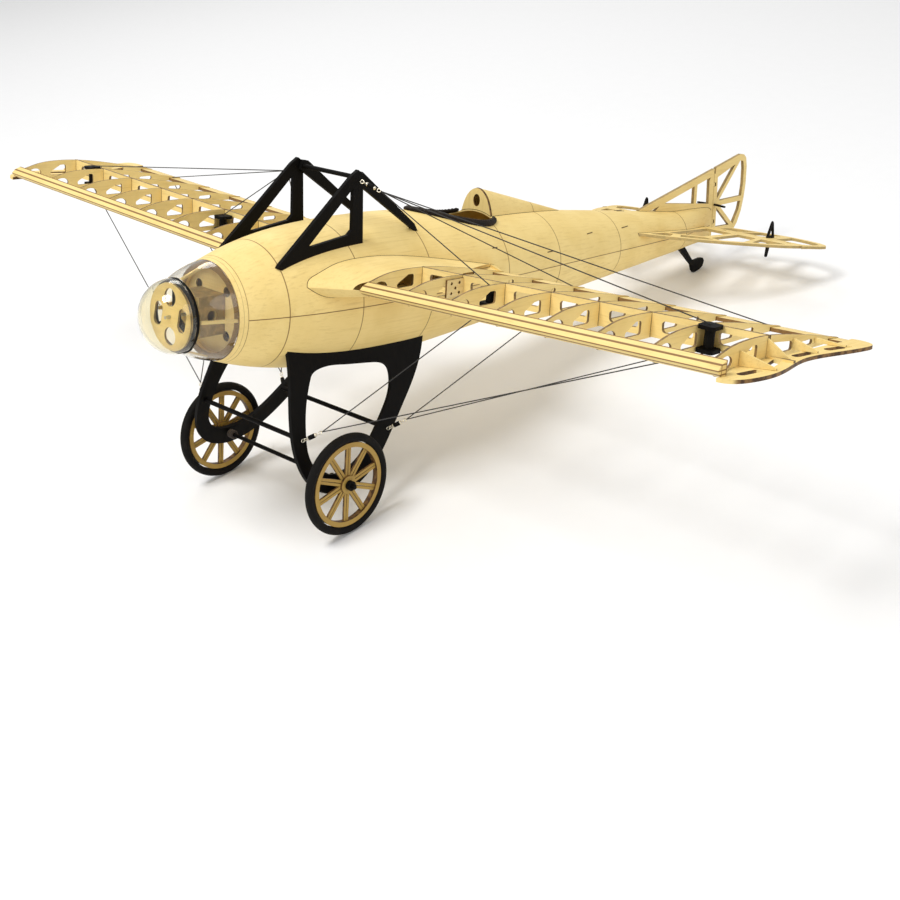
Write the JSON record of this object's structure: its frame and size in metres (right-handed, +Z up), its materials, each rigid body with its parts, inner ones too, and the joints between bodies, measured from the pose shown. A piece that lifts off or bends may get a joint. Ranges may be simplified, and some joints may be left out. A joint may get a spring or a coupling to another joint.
{
  "type": "model aeroplane",
  "caption": "Uncovered wooden model monoplane with a round sheeted fuselage, open rib wings, wire bracing, spoked wheels and hinged tail surfaces.",
  "frame": {"origin": "Centre of the bounding box on the standing surface: the wheels and the tail skid rest on z = 0.", "axes": "+X to the right wing tip, +Y towards the tail, +Z up; the nose points towards -Y, raised as the model stands on its skid"},
  "size_m": [0.998, 0.9212, 0.3104],
  "materials": {
    "balsa_sheet": "bare sanded balsa sheet",
    "laser_balsa": "laser-cut balsa with browned edges",
    "strip_balsa": "bare balsa strip",
    "plywood": "thin laser-cut plywood",
    "burnt_plywood": "plywood browned by laser cutting",
    "black_frame": "satin black paint on plywood",
    "black_plastic": "matte black",
    "tyre_rubber": "soft black foam rubber",
    "clear_plastic": "thin clear vacuum-formed plastic",
    "padded_rim": "dark padded edging",
    "steel": "bright steel wire",
    "brass_fitting": "dull brass with a black sleeve",
    "rigging_thread": "dark elastic thread",
    "binding_cord": "waxed binding cord"
  },
  "bodies": {
    "airframe": {"axle": "black_frame", "axle_bindings": "binding_cord", "cabane_cross_rod": "black_frame", "cabane_rear_struts": "black_frame", "clear_cowl": "clear_plastic", "cockpit_coaming": "padded_rim", "fin": "strip_balsa", "fuselage_formers": "plywood", "fuselage_longerons": "strip_balsa", "fuselage_lower_front": "balsa_sheet", "fuselage_lower_middle": "balsa_sheet", "fuselage_lower_rear": "balsa_sheet", "fuselage_upper_front": "balsa_sheet", "fuselage_upper_middle": "balsa_sheet", "fuselage_upper_rear": "balsa_sheet", "gear_cross_rods": "black_frame", "headrest_former": "plywood", "hinge_pins": "steel", "left_cabane_frame": "black_frame", "left_gear_frame": "black_frame", "left_leading_edge": "strip_balsa", "left_main_spar": "laser_balsa", "left_trailing_edge": "strip_balsa", "left_wing_ribs": "laser_balsa", "left_wing_stub": "balsa_sheet", "left_wing_tip": "laser_balsa", "motor_box": "plywood", "nose_ring": "plywood", "nose_sticks": "plywood", "rigging_wires": "rigging_thread", "right_cabane_frame": "black_frame", "right_gear_frame": "black_frame", "right_leading_edge": "strip_balsa", "right_main_spar": "laser_balsa", "right_trailing_edge": "strip_balsa", "right_wing_ribs": "laser_balsa", "right_wing_stub": "balsa_sheet", "right_wing_tip": "laser_balsa", "tail_cone": "balsa_sheet", "tail_skid": "black_frame", "tailplane": "strip_balsa", "turnbuckles": "brass_fitting", "turtledeck": "balsa_sheet", "wheel_collars": "black_plastic", "wing_joint_plates": "plywood", "wire_posts": "black_frame"},
    "spinner": {"spinner_back_ring": "black_plastic", "spinner_disc": "plywood", "spinner_dome": "clear_plastic", "propeller_shaft": "steel"},
    "right_wheel": {"right_tyre": "tyre_rubber", "right_spoked_rim": "burnt_plywood"},
    "left_wheel": {"left_tyre": "tyre_rubber", "left_spoked_rim": "burnt_plywood"},
    "rudder_surface": {"rudder": "strip_balsa", "rudder_horn": "black_plastic"},
    "right_elevator_surface": {"right_elevator": "strip_balsa", "right_elevator_horn": "black_plastic"},
    "left_elevator_surface": {"left_elevator": "strip_balsa", "left_elevator_horn": "black_plastic"}
  },
  "joints": [
    {"name": "spinner_spin", "type": "hinge", "parent": "airframe", "child": "spinner", "pos_m": [0, -0.4275, 0.22705], "axis": [0, 0.9771, -0.2127], "continuous": true},
    {"name": "right_wheel_spin", "type": "hinge", "parent": "airframe", "child": "right_wheel", "pos_m": [0.0937, -0.34116, 0.0487], "axis": [1, 0, 0], "continuous": true},
    {"name": "left_wheel_spin", "type": "hinge", "parent": "airframe", "child": "left_wheel", "pos_m": [-0.0937, -0.34116, 0.0487], "axis": [1, 0, 0], "continuous": true},
    {"name": "rudder_swing", "type": "hinge", "parent": "airframe", "child": "rudder_surface", "pos_m": [0, 0.38223, 0.05075], "axis": [0, 0.1145, 0.9934], "range_deg": [-30, 30]},
    {"name": "right_elevator_swing", "type": "hinge", "parent": "airframe", "child": "right_elevator_surface", "pos_m": [0.08, 0.35727, 0.05596], "axis": [1, 0, 0], "range_deg": [-25, 25]},
    {"name": "left_elevator_swing", "type": "hinge", "parent": "airframe", "child": "left_elevator_surface", "pos_m": [-0.08, 0.35727, 0.05596], "axis": [1, 0, 0], "range_deg": [-25, 25]}
  ],
  "couplings": [
    {"joint": "left_elevator_swing", "follows": "right_elevator_swing", "ratio": 1}
  ]
}
